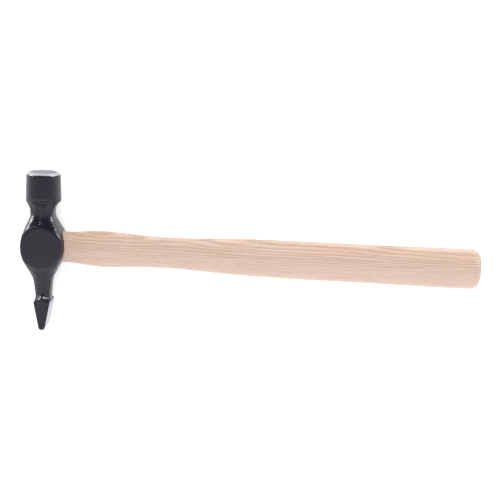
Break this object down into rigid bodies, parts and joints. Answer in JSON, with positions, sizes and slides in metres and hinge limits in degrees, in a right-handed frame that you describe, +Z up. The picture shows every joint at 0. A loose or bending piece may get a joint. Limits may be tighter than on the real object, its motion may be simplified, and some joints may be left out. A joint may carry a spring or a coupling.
{
  "type": "cross peen hammer",
  "caption": "Light cross peen hammer with a black forged steel head, round ground striking face, wedge-shaped peen and a plain ash handle wedged in an oval eye.",
  "frame": {"origin": "centre of the flat cheek disc that the hammer rests on when it lies on its side", "axes": "+X along the handle away from the head, +Y towards the striking face with the peen towards -Y, +Z up out of the upper cheek"},
  "size_m": [0.3224, 0.1122, 0.0242],
  "materials": {
    "head_steel": "satin",
    "handle_ash": "satin",
    "wedge_wood": "matte",
    "wedge_steel": "satin"
  },
  "bodies": {
    "root": {"head": "head_steel", "handle": "handle_ash", "wooden_wedge": "wedge_wood", "steel_wedge_face_side": "wedge_steel", "steel_wedge_peen_side": "wedge_steel"}
  },
  "joints": []
}
